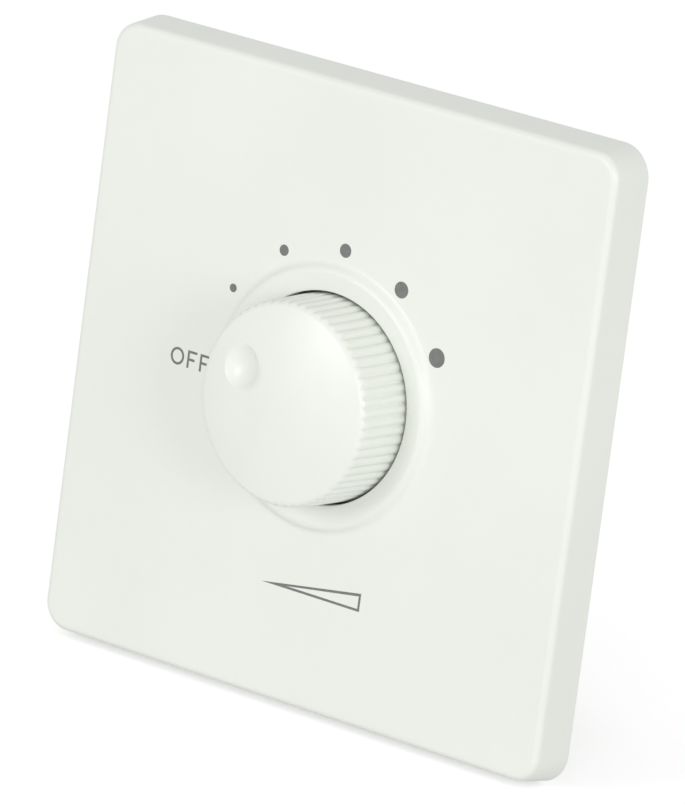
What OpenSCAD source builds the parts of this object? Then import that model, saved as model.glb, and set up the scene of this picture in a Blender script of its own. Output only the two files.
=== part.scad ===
// Wall mounted speaker volume control: a square clip-on cover with a fluted knob, a stepped rotary
// switch on a steel mounting frame, a tapped transformer below it and a terminal board above it.
// Millimetres. +Z is up, the face looks along -Y, and the wall plane is Y = 0 with the origin at its centre.
// The shapes below are drawn with z towards the viewer and y up, and upright() stands them up.

/* [Cover] */
// Width and height of the square cover at the wall
cover_w = 86; // [82:0.5:100]
// How far the flat face stands off the wall
cover_depth = 6.2; // [5.8:0.1:9]
// Thickness of the cover's face and sides
cover_wall = 1.8; // [1.4:0.1:2.2]
// Radius of the cover's corners, seen from the front
cover_corner_r = 4.5; // [3.5:0.5:8]
// How much each side leans in from wall to face
cover_draft = 0.7; // [0.2:0.1:1.2]
// Rounding between the face and the sides
cover_edge_r = 1; // [0.5:0.1:1.4]
// Width of the raised collar round the knob's hole
collar_w = 3.6; // [2:0.1:5]
// Height of the collar above the face
collar_h = 0.9; // [0.8:0.1:1.4]
// How far the collar's top slopes down to the hole
collar_dish = 0.5; // [0.1:0.1:0.6]
// Rounding of the collar's outer edge
collar_edge_r = 0.6; // [0.3:0.1:0.8]
// Rounding of the collar's edge at the hole
collar_inner_r = 0.2; // [0.1:0.1:0.4]
// Distance from the middle to each snap leg, sideways
leg_x = 16; // [12:0.5:20]
// Distance from the frame's edge in to each snap leg, up or down
leg_edge = 5; // [4:0.1:5.5]
// Width of a snap leg
leg_w = 6; // [4:0.5:8]
// Thickness of a snap leg
leg_t = 1.6; // [1.2:0.1:2]
// How far a snap leg's nose reaches behind the frame
leg_nose = 0.8; // [0.5:0.1:1.2]

/* [Knob] */
// Radius of the knob at its foot, over the ridges
knob_r = 14.05; // [12.5:0.05:16]
// How much the knob's side leans in from foot to face
knob_draft = 0.25; // [0.1:0.05:1]
// Height of the knob from foot to crown
knob_h = 11.6; // [10.5:0.1:15]
// How far the knob's foot sits below the cover's face
knob_sink = 1.2; // [0.4:0.1:1.4]
// Gap between the knob's foot and the hole in the cover
knob_gap = 0.25; // [0.2:0.05:1]
// Rounding between the knob's side and its face
knob_edge_r = 1.3; // [0.6:0.1:1.8]
// Rise of the knob's crowned face
crown_h = 1.5; // [0.6:0.1:1.6]
// Wall of the knob
knob_wall = 1.8; // [1.4:0.1:2.4]
// Number of flutes round the knob
flute_count = 60; // [36:4:72]
// Depth of a flute
flute_depth = 0.5; // [0.2:0.05:0.6]
// Radius of the tool that cuts a flute
flute_r = 0.38; // [0.3:0.02:0.5]
// Diameter of the finger dimple
dimple_d = 6.2; // [4:0.1:8]
// Depth of the finger dimple
dimple_depth = 1.1; // [0.5:0.05:1.2]
// Distance of the dimple from the knob's axis
dimple_offset = 7.9; // [6:0.1:8.6]
// Radius of the knob's hub
hub_r = 5.4; // [4.8:0.1:6.5]
// Thickness of the ribs between hub and wall
rib_t = 1.2; // [0.8:0.1:2]

/* [Mounting frame] */
// Gap between the steel frame's edge and the cover's side
frame_clear = 3.5; // [1.5:0.1:4.5]
// Sheet thickness of the frame
frame_t = 1.5; // [1.2:0.1:1.8]
// Radius of the frame's corners
frame_corner_r = 4; // [2:0.5:8]
// Distance between the two wall fixings
fixing_pitch = 60.3; // [58:0.1:62]
// Width of a fixing slot
fixing_slot_w = 4.2; // [3.8:0.1:4.6]
// Length of a fixing slot
fixing_slot_len = 8; // [5.5:0.1:9]

/* [Rotary switch] */
// Turn of the knob between two steps
step_angle = 30; // [20, 24, 30]
// Step that the knob stands on, 0 being off
rest_step = 1; // [0:1:5]
// Radius of the shaft
shaft_r = 3; // [2.8:0.05:3.2]
// Depth of the flat on the shaft
shaft_flat = 1.5; // [1:0.1:1.8]
// Radius of the threaded neck
neck_r = 4.75; // [4.5:0.05:5.2]
// Length of the threaded neck in front of the wall
neck_len = 5.3; // [5:0.1:5.6]
// Width of the panel nut across its flats
nut_af = 13; // [12:0.5:14]
// Thickness of the panel nut
nut_t = 2.4; // [1.8:0.1:2.6]
// Thickness of the lock washer
washer_t = 0.6; // [0.4:0.1:0.8]
// Radius of the switch's round body
switch_r = 12.5; // [12.2:0.1:13.5]
// Wall of the switch's body
switch_wall = 1.5; // [1.2:0.1:1.6]
// Thickness of the die-cast front
casting_t = 2; // [1.6:0.1:2.6]
// Length of the switch housing behind the casting
housing_len = 10; // [9.8:0.1:12]
// Thickness of the contact wafer
wafer_t = 1.6; // [1.2:0.1:2]
// Distance from the switch's body out to each tie screw
tie_out = 1.9; // [1.7:0.1:2.5]
// Radius of a tie screw
tie_r = 1; // [0.8:0.05:1.2]
// Radius of the ears that take the tie screws
ear_r = 2.4; // [2:0.1:2.8]
// Room round the index wheel for its detent and stop
wheel_room = 2.8; // [2.6:0.1:3.2]
// Thickness of the index wheel
wheel_t = 2; // [1.6:0.1:2.2]
// Radius of a notch in the index wheel
notch_r = 1; // [0.8:0.05:1.2]
// Thickness of the detent leaf
leaf_t = 0.4; // [0.3:0.05:0.5]
// Radius of the circle that the fixed contacts sit on
contact_ring_r = 8; // [7.6:0.1:8.6]
// Radius of a fixed contact's head
contact_r = 1.1; // [0.8:0.05:1.3]
// Length of a solder lug behind the wafer
lug_len = 3.6; // [3:0.1:5]

/* [Transformer] */
// Width of the outer legs of the core, a sixth of its whole width
core_leg = 5.8; // [5:0.1:6]
// Height of the stack of core plates
core_stack = 10; // [8:0.5:11]
// Wall of the bobbin
bobbin_wall = 0.8; // [0.6:0.1:1]
// Thickness of the bobbin's end flanges
flange_t = 1.4; // [1.2:0.1:1.8]
// How far the bobbin's flanges stand off the stack of plates
flange_h = 4.9; // [4.5:0.1:5.2]
// Build of the winding on the bobbin
winding_h = 3.2; // [2.5:0.1:3.4]
// Thickness of the tape over the winding
tape_t = 0.3; // [0.2:0.05:0.5]
// Sheet thickness of the transformer's bracket
bracket_t = 1; // [0.8:0.1:1.2]
// Length of the bracket's feet
foot_len = 8; // [7.4:0.1:9]

/* [Terminal board] */
// Width of the circuit board
board_w = 46; // [44:0.5:48]
// Height of the circuit board
board_h = 17.5; // [16.5:0.5:18]
// Thickness of the circuit board
board_t = 1.6; // [1:0.1:2]
// Height of the standoffs that carry the board
standoff_h = 8.4; // [6:0.1:10]
// Radius of a standoff
standoff_r = 2.75; // [2.6:0.05:3.2]
// Distance from the board's end in to each standoff
standoff_edge = 4; // [3.6:0.1:5]
// Pitch of the terminals
terminal_pitch = 5.08; // [5:0.01:5.5]
// Number of terminals
terminal_count = 4; // [2:1:4]
// Depth of the terminal block, up and down
terminal_d = 9; // [8.6:0.1:10]
// Height of the terminal block behind the board
terminal_h = 10; // [9.6:0.1:12]
// Radius of a lead over its insulation
lead_r = 0.55; // [0.4:0.05:0.6]

/* [Clearances] */
// Gap between parts that run on each other
run_gap = 0.04; // [0.02:0.01:0.08]
// Gap between parts that slip together and stay put
slip_gap = 0.05; // [0.02:0.01:0.1]
// Gap between parts that pass each other freely
free_gap = 0.6; // [0.4:0.05:0.8]
// Gap along the axis at a bearing face
end_gap = 0.1; // [0.05:0.01:0.2]

/* [Hidden] */
$fn = 64;

// A little extra length so that a cut passes right through
past = 1;
// Flats along a rounded edge, and from the rim to the middle of the crowned face
edge_steps = 5;
crown_steps = 6;

// Cover
hole_r = knob_r + knob_gap;
cavity_half = cover_w / 2 - cover_draft - cover_wall;
cavity_r = max(cover_corner_r - cover_draft - cover_wall, 1);
lining_z = cover_depth - cover_wall;
collar_sunk = cover_wall / 2;
leg_flex = 1;
frame_w = 2 * (cavity_half - frame_clear);
leg_y = frame_w / 2 - leg_edge;
hook_h = 1.8;
hook_face = 0.6;

// Knob, from foot to crown
foot_z = cover_depth - knob_sink;
crown_z = foot_z + knob_h;
shoulder_z = crown_z - crown_h - knob_edge_r;
shoulder_r = knob_r - knob_draft;
crown_edge_r = shoulder_r - knob_edge_r;
crown_r = (pow(crown_edge_r, 2) + pow(crown_h, 2)) / (2 * crown_h);
ceiling_z = crown_z - crown_h - knob_wall;
knob_inner_r = shoulder_r - flute_depth - knob_wall;
side_lean = atan(knob_draft / (shoulder_z - foot_z));
dimple_r = (pow(dimple_d / 2, 2) + pow(dimple_depth, 2)) / (2 * dimple_depth);
dimple_face_z = crown_z - crown_r + sqrt(pow(crown_r, 2) - pow(dimple_offset, 2));
rib_drop = 5;

// Turn of the knob at rest, with off pointing left
off_angle = 180;
rest_angle = off_angle - step_angle * rest_step;
step_count = 5;
full_turn = step_angle * step_count;

// Neck, nut, ring and shaft in front of the frame
washer_z = frame_t;
nut_z = washer_z + washer_t;
washer_over = 1;
washer_r = nut_af / 2 + washer_over;
washer_teeth = 16;
tooth_len = 1;
tooth_gap = 0.8;
ring_t = 0.6;
ring_r = 4.6;
ring_groove = 0.6;
ring_groove_r = shaft_r - ring_groove;
ring_grip = 0.7;
ring_mouth = 2 * (ring_groove_r - ring_grip);
ring_z = neck_len + end_gap;
hub_z = ring_z + ring_t + free_gap;
shaft_top_z = ceiling_z - free_gap / 2;
spring_t = 0.4;
spring_w = 3;
flat_y = shaft_r - shaft_flat;
key_w = 2.4;
key_h = 1.5;
key_proud = 1.2;
key_y = 9;

// Levels behind the frame
housing_front_z = -casting_t;
housing_back_z = housing_front_z - housing_len;
wafer_back_z = housing_back_z - wafer_t;
lug_tip_z = wafer_back_z - lug_len;
bore_r = switch_r - switch_wall;
wheel_r = bore_r - wheel_room;
tie_x = switch_r + tie_out;
thrust_t = 0.6;
thrust_inset = 0.5;
thrust_r = neck_r - thrust_inset;
ear_web = 0.8 * ear_r;
wheel_front_z = housing_front_z - slip_gap - thrust_t;
wheel_back_z = wheel_front_z - wheel_t;
rotor_hub_len = 1.6;
rotor_t = 2.6;
rotor_margin = 1;
rotor_r = contact_ring_r + rotor_margin;
rotor_hub_r = 4.4;
rotor_front_z = wheel_back_z - rotor_hub_len;
rotor_back_z = rotor_front_z - rotor_t;
wiper_t = 0.4;
contact_h = 0.8;
contact_top_z = housing_back_z + contact_h;
drive_r = 2.6;
drive_flat = 2.2;
pivot_r = 1.9;
common_r = 4.9;
common_w = 1.6;
stem_r = 0.6;
lug_w = 1.8;
lug_t = 0.6;
wiper_margin = 0.8;
wiper_pad_r = common_w / 2 - end_gap;
tie_head_inset = 0.4;
tie_head_r = ear_r - tie_head_inset;
tie_head_h = 1.4;
tie_short = 0.4;

// Detent and stop
lug_half_angle = 5;
lug_root = 1;
stop_lug_out = 1.2;
stop_lug_r = wheel_r + stop_lug_out;
stop_clear_angle = 0.6;
stop_tab_angle = 8;
stop_lug_lead = -60;
stop_arc_gap = 0.5;
stop_arc_inner_r = stop_lug_r + stop_arc_gap;
stop_arc_outer_r = bore_r - slip_gap;
stop_tab_gap = 0.4;
stop_tab_r = wheel_r + stop_tab_gap;
off_lug_angle = off_angle + stop_lug_lead;
full_lug_angle = off_lug_angle - full_turn;
stop_start = full_lug_angle - lug_half_angle - stop_clear_angle - stop_tab_angle;
stop_end = off_lug_angle + lug_half_angle + stop_clear_angle + stop_tab_angle;
notch_out = 0.35;
notch_centre_r = wheel_r + notch_out;
bump_gap = 0.1;
bump_angle = 225;
leaf_span = 70;
leaf_inner_r = notch_centre_r + notch_r - bump_gap - leaf_t / 2;
leaf_foot_angle = 4;
leaf_margin = 0.2;
leaf_w = wheel_t - 2 * leaf_margin;
nose_r = notch_r - bump_gap;
nose_over = pow(leaf_inner_r, 2) - pow(notch_centre_r, 2) - pow(nose_r, 2);
nose_meet = acos(nose_over / (2 * notch_centre_r * nose_r));
nose_half = asin(nose_r * sin(nose_meet) / leaf_inner_r);

// Transformer
core_w = 6 * core_leg;
core_len = 5 * core_leg;
coil_half = core_stack / 2 + flange_h;
coil_clear = 1.2;
core_y = -(switch_r + coil_clear + coil_half);
window_z = -core_leg;
window_len = 3 * core_leg;
bobbin_front_z = window_z - slip_gap;
bobbin_len = window_len - 2 * slip_gap;
bobbin_back_z = bobbin_front_z - bobbin_len;
tube_half_x = core_leg + slip_gap + bobbin_wall;
tube_half_y = core_stack / 2 + slip_gap + bobbin_wall;
flange_half_x = 2 * core_leg - slip_gap;
winding_half_x = tube_half_x + winding_h;
winding_half_y = tube_half_y + winding_h;
pin_r = 0.4;
pin_count = step_count + 2;
pin_edge = 1;
pin_span = 2 * (flange_half_x - pin_edge);
pin_z = bobbin_back_z + flange_t / 2;
pin_sunk = 1.6;
pin_proud = 1;
pin_tip_y = core_y + coil_half + pin_proud;
bracket_half = core_w / 2 + slip_gap;
foot_x = bracket_half + bracket_t + foot_len / 2;

// Small screws
m3_r = 1.5;
m3_head_r = 2.8;
m3_head_h = 1.7;
m3_nut_af = 5.5;
m3_nut_t = 2.4;
slot_w = 0.8;
slot_d = 0.8;
thread_spare = 1;

// Terminal board
board_clear = 3;
board_y = switch_r + board_clear + board_h / 2;
board_front_z = -standoff_h;
board_back_z = board_front_z - board_t;
standoff_spigot_r = 2;
standoff_x = board_w / 2 - standoff_edge;
board_screw_len = 4;
block_end = 0.2;
block_w = terminal_count * terminal_pitch + 2 * block_end;
block_back_z = board_back_z - terminal_h;
cell_w = 3.6;
cell_h = 4;
cell_floor_t = 2.6;
cell_floor_z = board_back_z - cell_floor_t;
cell_top_z = cell_floor_z - cell_h;
cell_rear_wall = 1.4;
clamp_wall = 0.6;
clamp_screw_r = 1.2;
clamp_head_r = 1.65;
clamp_head_h = 2;
clamp_head_sunk = 0.8;
term_pin_r = 0.6;
term_pin_proud = 1.2;
pad_edge = 1.5;
pad_y = board_y - board_h / 2 + pad_edge;
pad_end = 7;
input_pad_x = board_w / 2 - pad_end;
return_pad_x = -input_pad_x;
output_pad_x = 2;
lead_bend = 5;
lead_loop = 14;
lead_sides = 8;
lead_rings = 14;

function arc(centre, r, from, to, steps) = [
    for (i = [0:steps])
        let (turn = from + (to - from) * i / steps)
        centre + r * [cos(turn), sin(turn)]
];

function pin_x(i) = pin_span / 2 - i * pin_span / (pin_count - 1);

function contact_angle(step) = off_angle + 180 - step * step_angle;

function lug_tip(step) = [
    contact_ring_r * cos(contact_angle(step)),
    contact_ring_r * sin(contact_angle(step)),
    lug_tip_z
];

function pin_tip(i) = [pin_x(i), pin_tip_y, pin_z];

function bezier(p, t) =
    pow(1 - t, 3) * p[0] + 3 * pow(1 - t, 2) * t * p[1] + 3 * (1 - t) * t * t * p[2] + pow(t, 3) * p[3];

function slope(p, t) =
    3 * pow(1 - t, 2) * (p[1] - p[0]) + 6 * (1 - t) * t * (p[2] - p[1]) + 3 * t * t * (p[3] - p[2]);

function unit(v) = v / norm(v);

// Ring of points square to a lead at one place on its curve
function lead_ring(p, t) =
    let (along = unit(slope(p, t)))
    let (across = unit(cross(along, [1, 0, 0])))
    let (up = cross(along, across))
    [for (k = [0:lead_sides - 1])
        bezier(p, t) + lead_r * (cos(360 * k / lead_sides) * across + sin(360 * k / lead_sides) * up)];

// Stands a shape drawn facing the viewer upright on the wall
module upright() {
    rotate([90, 0, 0]) children();
}

// Turns a shape drawn with the knob pointing right to the knob's rest place
module turned() {
    rotate([0, 0, rest_angle]) children();
}

module at_four(x, y) {
    for (sx = [-1, 1], sy = [-1, 1]) translate([sx * x, sy * y, 0]) children();
}

module at_two(x, y) {
    for (sx = [-1, 1]) translate([sx * x, y, 0]) children();
}

module at_terminals() {
    for (i = [0:terminal_count - 1])
        translate([(i - (terminal_count - 1) / 2) * terminal_pitch, board_y, 0]) children();
}

// Upright block from its low corner to its high corner
module block(low, high) {
    translate(low) cube(high - low);
}

// Cylinder between two levels
module post(r, low, high) {
    translate([0, 0, low]) cylinder(r = r, h = high - low);
}

// Round post with a hole through it
module sleeve(outer, inner, low, high) {
    difference() {
        post(outer, low, high);
        post(inner, low - past, high + past);
    }
}

// Hexagon between two levels, by its width across flats
module hexagon(across, low, high) {
    translate([0, 0, low]) cylinder(d = across / cos(30), h = high - low, $fn = 6);
}

// Round outline with two flats
module two_flats(r, half, low, high) {
    translate([0, 0, low]) linear_extrude(high - low) intersection() {
        circle(r);
        square([4 * r, 2 * half], center = true);
    }
}

// Slice of a round bar that starts at one angle and spans another, up to half a turn
module sector(r, low, high, start, span) {
    rim = [for (i = [0:4]) 2 * r * [cos(start + span * i / 4), sin(start + span * i / 4)]];
    intersection() {
        post(r, low, high);
        translate([0, 0, low - past]) linear_extrude(high - low + 2 * past) polygon(concat([[0, 0]], rim));
    }
}

// Strip of a ring that starts at one angle and spans another, up to half a turn
module ring_strip(inner, outer, low, high, start, span) {
    difference() {
        sector(outer, low, high, start, span);
        post(inner, low - past, high + past);
    }
}

// Round bar with ears for the two tie screws
module eared(r, low, high) {
    post(r, low, high);
    at_two(tie_x, 0) post(ear_r, low, high);
    block([-tie_x, -ear_web, low], [tie_x, ear_web, high]);
}

// Cover's outer form: four corner buttons with a leaning side and a rounded edge, skinned over
module cover_form() {
    face_r = cover_corner_r - cover_draft;
    edge = arc([face_r - cover_edge_r, cover_depth - cover_edge_r], cover_edge_r, 0, 90, edge_steps);
    reach = cover_w / 2 - cover_corner_r;
    hull() at_four(reach, reach) rotate_extrude($fn = 32)
        polygon(concat([[0, 0], [cover_corner_r, 0]], edge, [[0, cover_depth]]));
}

module cover_cavity() {
    reach = cavity_half - cavity_r;
    hull() at_four(reach, reach) translate([0, 0, -past])
        cylinder(r = cavity_r, h = lining_z + past, $fn = 32);
}

module cover_collar() {
    low = cover_depth - collar_sunk;
    top = cover_depth + collar_h;
    outer_r = hole_r + collar_w;
    outer = arc([outer_r - collar_edge_r, top - collar_edge_r], collar_edge_r, 0, 90, edge_steps);
    lip = [hole_r + collar_inner_r, top - collar_dish - collar_inner_r];
    inner = arc(lip, collar_inner_r, 90, 180, edge_steps);
    rotate_extrude() polygon(concat([[hole_r, low], [outer_r, low]], outer, inner));
}

// Snap leg with a nose that catches behind the frame
module snap_leg() {
    block([-leg_w / 2, -leg_t, -hook_h], [leg_w / 2, 0, lining_z + collar_sunk]);
    rotate([90, 0, 90]) translate([0, 0, -leg_w / 2]) linear_extrude(leg_w)
        polygon([
            [-leg_t / 2, -end_gap],
            [leg_nose, -end_gap],
            [leg_nose, -end_gap - hook_face],
            [0, -hook_h],
            [-leg_t / 2, -hook_h]
        ]);
}

module front_cover() {
    color("#ECEFE8") upright() {
        difference() {
            union() {
                difference() {
                    cover_form();
                    cover_cavity();
                }
                cover_collar();
            }
            post(hole_r, -past, cover_depth + collar_h + past);
        }
        for (side = [0, 180]) rotate([0, 0, side]) at_two(leg_x, leg_y) snap_leg();
    }
}

module fixing_slot() {
    reach = (fixing_slot_len - fixing_slot_w) / 2;
    for (sx = [-1, 1]) translate([sx * reach, 0, 0]) post(fixing_slot_w / 2, -past, frame_t + past);
    block([-reach, -fixing_slot_w / 2, -past], [reach, fixing_slot_w / 2, frame_t + past]);
}

module leg_window() {
    half = leg_w / 2 + free_gap / 2;
    block([-half, -leg_t - leg_flex, -past], [half, end_gap, frame_t + past]);
}

module mounting_frame() {
    reach = frame_w / 2 - frame_corner_r;
    color("#B9BCBE") upright() difference() {
        hull() at_four(reach, reach) cylinder(r = frame_corner_r, h = frame_t, $fn = 32);
        post(neck_r + slip_gap, -past, frame_t + past);
        block([-key_w / 2 - slip_gap, key_y - slip_gap, -past],
            [key_w / 2 + slip_gap, key_y + key_h + slip_gap, frame_t + past]);
        at_two(fixing_pitch / 2, 0) fixing_slot();
        for (side = [0, 180]) rotate([0, 0, side]) at_two(leg_x, leg_y) leg_window();
        at_two(foot_x, core_y) post(m3_r + slip_gap, -past, frame_t + past);
        at_two(standoff_x, board_y) post(standoff_spigot_r + slip_gap, -past, frame_t + past);
    }
}

// Knob's outer form: leaning side, rounded shoulder and crowned face
module knob_form() {
    shoulder = arc([crown_edge_r, shoulder_z], knob_edge_r, 0, 90, edge_steps);
    swing = asin(crown_edge_r / crown_r);
    crown = arc([0, crown_z - crown_r], crown_r, 90 - swing, 90, crown_steps);
    face = [for (i = [1:crown_steps]) crown[i]];
    rotate_extrude() polygon(concat([[0, foot_z], [knob_r, foot_z]], shoulder, face));
}

// Flutes that follow the leaning side and run out in the rounded shoulder
module knob_flutes() {
    for (i = [0:flute_count - 1]) rotate([0, 0, (i + 0.5) * 360 / flute_count])
        translate([knob_r - flute_depth + flute_r, 0, foot_z]) rotate([0, -side_lean, 0])
            post(flute_r, -past, knob_h);
}

module knob_inside() {
    difference() {
        post(knob_inner_r, foot_z - past, ceiling_z);
        post(hub_r, hub_z, ceiling_z + past);
        for (turn = [45, 135]) rotate([0, 0, turn])
            block([-knob_r, -rib_t / 2, ceiling_z - rib_drop], [knob_r, rib_t / 2, ceiling_z + past]);
    }
}

// Hub's bore: round, with a straight side that leaves room for the spring
module hub_bore() {
    wall_y = flat_y + spring_t + slip_gap;
    translate([0, 0, hub_z - past]) linear_extrude(ceiling_z - hub_z + past) intersection() {
        circle(shaft_r + slip_gap);
        translate([-2 * shaft_r, wall_y - 4 * shaft_r]) square([4 * shaft_r, 4 * shaft_r]);
    }
}

module knob() {
    color("#EEF0EA") upright() turned() difference() {
        knob_form();
        knob_flutes();
        knob_inside();
        hub_bore();
        translate([dimple_offset, 0, dimple_face_z - dimple_depth + dimple_r]) sphere(dimple_r);
    }
}

module knob_spring() {
    low = flat_y + slip_gap / 2;
    color("#9EA1A3") upright() turned()
        block([-spring_w / 2, low, hub_z + end_gap], [spring_w / 2, low + spring_t, shaft_top_z]);
}

module switch_shaft() {
    color("#C9CBCC") upright() turned() {
        difference() {
            post(shaft_r, wheel_front_z, shaft_top_z);
            block([-2 * shaft_r, flat_y, hub_z - free_gap / 2],
                [2 * shaft_r, 2 * shaft_r, shaft_top_z + past]);
            sleeve(2 * shaft_r, ring_groove_r, ring_z, ring_z + ring_t);
        }
        post(thrust_r, wheel_front_z, wheel_front_z + thrust_t);
        two_flats(drive_r, drive_flat, rotor_back_z, wheel_front_z);
        post(pivot_r, wafer_back_z - free_gap, rotor_back_z);
    }
}

module retaining_ring() {
    low = ring_z + slip_gap / 2;
    high = ring_z + ring_t - slip_gap / 2;
    color("#8F9294") upright() turned() difference() {
        sleeve(ring_r, ring_groove_r + slip_gap, low, high);
        block([0, -ring_mouth / 2, low - past], [2 * ring_r, ring_mouth / 2, high + past]);
    }
}

module panel_nut() {
    color("#C8C3B4") upright() difference() {
        hexagon(nut_af, nut_z, nut_z + nut_t);
        post(neck_r + slip_gap / 2, nut_z - past, nut_z + nut_t + past);
    }
}

module lock_washer() {
    tooth = 360 / washer_teeth;
    color("#A9ACAE") upright() difference() {
        sleeve(washer_r, neck_r + slip_gap, washer_z, nut_z);
        for (i = [1:washer_teeth]) rotate([0, 0, i * tooth])
            block([washer_r - tooth_len, -tooth_gap / 2, washer_z - past],
                [washer_r + past, tooth_gap / 2, nut_z + past]);
    }
}

module switch_bushing() {
    color("#B4B2AA") upright() difference() {
        union() {
            eared(switch_r, housing_front_z, 0);
            post(neck_r, -past, neck_len);
            block([-key_w / 2, key_y, -past], [key_w / 2, key_y + key_h, key_proud]);
        }
        post(shaft_r + run_gap, housing_front_z - past, neck_len + past);
        at_two(tie_x, 0) post(tie_r + slip_gap / 2, housing_front_z - past, past);
    }
}

module switch_housing() {
    color("#26282A") upright() difference() {
        eared(switch_r, housing_back_z, housing_front_z);
        post(bore_r, housing_back_z - past, housing_front_z + past);
        at_two(tie_x, 0) post(tie_r + slip_gap, housing_back_z - past, housing_front_z + past);
    }
}

module index_wheel() {
    color("#D9D4C4") upright() difference() {
        union() {
            post(wheel_r, wheel_back_z, wheel_front_z);
            ring_strip(wheel_r - lug_root, stop_lug_r, wheel_back_z, wheel_front_z,
                rest_angle + stop_lug_lead - lug_half_angle, 2 * lug_half_angle);
        }
        for (i = [0:360 / step_angle - 1]) rotate([0, 0, bump_angle + i * step_angle])
            translate([notch_centre_r, 0, 0]) post(notch_r, wheel_back_z - past, wheel_front_z + past);
        turned()
            two_flats(drive_r + slip_gap, drive_flat + slip_gap, wheel_back_z - past, wheel_front_z + past);
    }
}

// Leaf that lies round the wheel, with a round nose in one notch and two feet against the housing
module detent_spring() {
    mid = (wheel_front_z + wheel_back_z) / 2;
    low = mid - leaf_w / 2;
    end = leaf_span / 2;
    foot = end - leaf_foot_angle;
    foot_r = bore_r - slip_gap;
    middle = [0, 0];
    color("#C08A4A") upright() rotate([0, 0, bump_angle]) translate([0, 0, low]) linear_extrude(leaf_w)
        polygon(concat(
            arc(middle, foot_r, -end, -foot, 1),
            arc(middle, leaf_inner_r + leaf_t, -foot, foot, 16),
            arc(middle, foot_r, foot, end, 1),
            arc(middle, leaf_inner_r, end, nose_half + leaf_foot_angle, 8),
            arc([notch_centre_r, 0], nose_r, nose_meet, 360 - nose_meet, 12),
            arc(middle, leaf_inner_r, -nose_half - leaf_foot_angle, -end, 8)
        ));
}

// Strip inside the housing, thinned between its two tabs so that the stop lug swings between them
module stop_arc() {
    span = stop_end - stop_start;
    color("#9A9DA0") upright() difference() {
        ring_strip(stop_tab_r, stop_arc_outer_r, wheel_back_z, wheel_front_z, stop_start, span);
        sector(stop_arc_inner_r, wheel_back_z - past, wheel_front_z + past,
            stop_start + stop_tab_angle, span - 2 * stop_tab_angle);
    }
}

module contact_rotor() {
    color("#E6DFC8") upright() turned() difference() {
        union() {
            post(rotor_r, rotor_back_z, rotor_front_z);
            post(rotor_hub_r, rotor_front_z - past, wheel_back_z);
        }
        two_flats(drive_r + slip_gap, drive_flat + slip_gap, rotor_back_z - past, wheel_back_z + past);
    }
}

// Bronze strip on the back of the rotor, with a pad on the common ring and a pad on the fixed contacts
module wiper_contact() {
    low = rotor_back_z - wiper_t;
    color("#C9963F") upright() turned() rotate([0, 0, 180]) {
        block([common_r - wiper_margin, -contact_r, low],
            [contact_ring_r + wiper_margin, contact_r, rotor_back_z]);
        for (x = [common_r, contact_ring_r])
            translate([x, 0, 0]) post(wiper_pad_r, contact_top_z + end_gap / 2, low);
    }
}

// Hole right through the wafer
module wafer_hole(r) {
    post(r, wafer_back_z - past, housing_back_z + past);
}

module contact_wafer() {
    color("#7A4A24") upright() difference() {
        eared(switch_r, wafer_back_z, housing_back_z);
        wafer_hole(pivot_r + run_gap);
        for (step = [0:step_count]) rotate([0, 0, contact_angle(step)])
            translate([contact_ring_r, 0, 0]) wafer_hole(stem_r + slip_gap / 2);
        translate([0, common_r, 0]) wafer_hole(stem_r + slip_gap / 2);
        at_two(tie_x, 0) wafer_hole(tie_r + slip_gap);
    }
}

// Stem through the wafer with a flat solder lug behind it
module solder_stem() {
    post(stem_r, wafer_back_z, housing_back_z);
    block([-lug_t / 2, -lug_w / 2, lug_tip_z], [lug_t / 2, lug_w / 2, wafer_back_z]);
}

module fixed_contacts() {
    color("#D6C27A") upright() for (step = [0:step_count]) rotate([0, 0, contact_angle(step)])
        translate([contact_ring_r, 0, 0]) {
            post(contact_r, housing_back_z, contact_top_z);
            solder_stem();
        }
}

module common_contact() {
    color("#D6C27A") upright() {
        sleeve(common_r + common_w / 2, common_r - common_w / 2, housing_back_z, contact_top_z);
        translate([0, common_r, 0]) rotate([0, 0, 90]) solder_stem();
    }
}

// Pan head screw that points along +z, with its head's seat at z = 0
module pan_screw(r, head_r, head_h, len) {
    difference() {
        post(head_r, -head_h, 0);
        block([-2 * head_r, -slot_w / 2, -head_h - past], [2 * head_r, slot_w / 2, -head_h + slot_d]);
    }
    post(r, 0, len);
}

module tie_screws() {
    color("#B8BABC") upright() at_two(tie_x, 0) translate([0, 0, wafer_back_z])
        pan_screw(tie_r, tie_head_r, tie_head_h, -wafer_back_z - tie_short);
}

// Plates of the core: a block with two windows beside the middle leg
module transformer_core() {
    half = core_stack / 2;
    color("#6E6A66") upright() translate([0, core_y, 0]) difference() {
        block([-core_w / 2, -half, -core_len], [core_w / 2, half, 0]);
        for (x = [core_leg, -2 * core_leg])
            block([x, -half - past, window_z - window_len], [x + core_leg, half + past, window_z]);
    }
}

module coil_bobbin() {
    color("#D8D3C0") upright() translate([0, core_y, 0]) difference() {
        union() {
            block([-tube_half_x, -tube_half_y, bobbin_back_z], [tube_half_x, tube_half_y, bobbin_front_z]);
            for (z = [bobbin_back_z, bobbin_front_z - flange_t])
                block([-flange_half_x, -coil_half, z], [flange_half_x, coil_half, z + flange_t]);
        }
        block([-core_leg - slip_gap, -core_stack / 2 - slip_gap, bobbin_back_z - past],
            [core_leg + slip_gap, core_stack / 2 + slip_gap, bobbin_front_z + past]);
        for (i = [0:pin_count - 1]) translate([pin_x(i), coil_half - pin_sunk, pin_z]) rotate([-90, 0, 0])
            post(pin_r + slip_gap / 2, 0, pin_sunk + past);
    }
}

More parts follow.
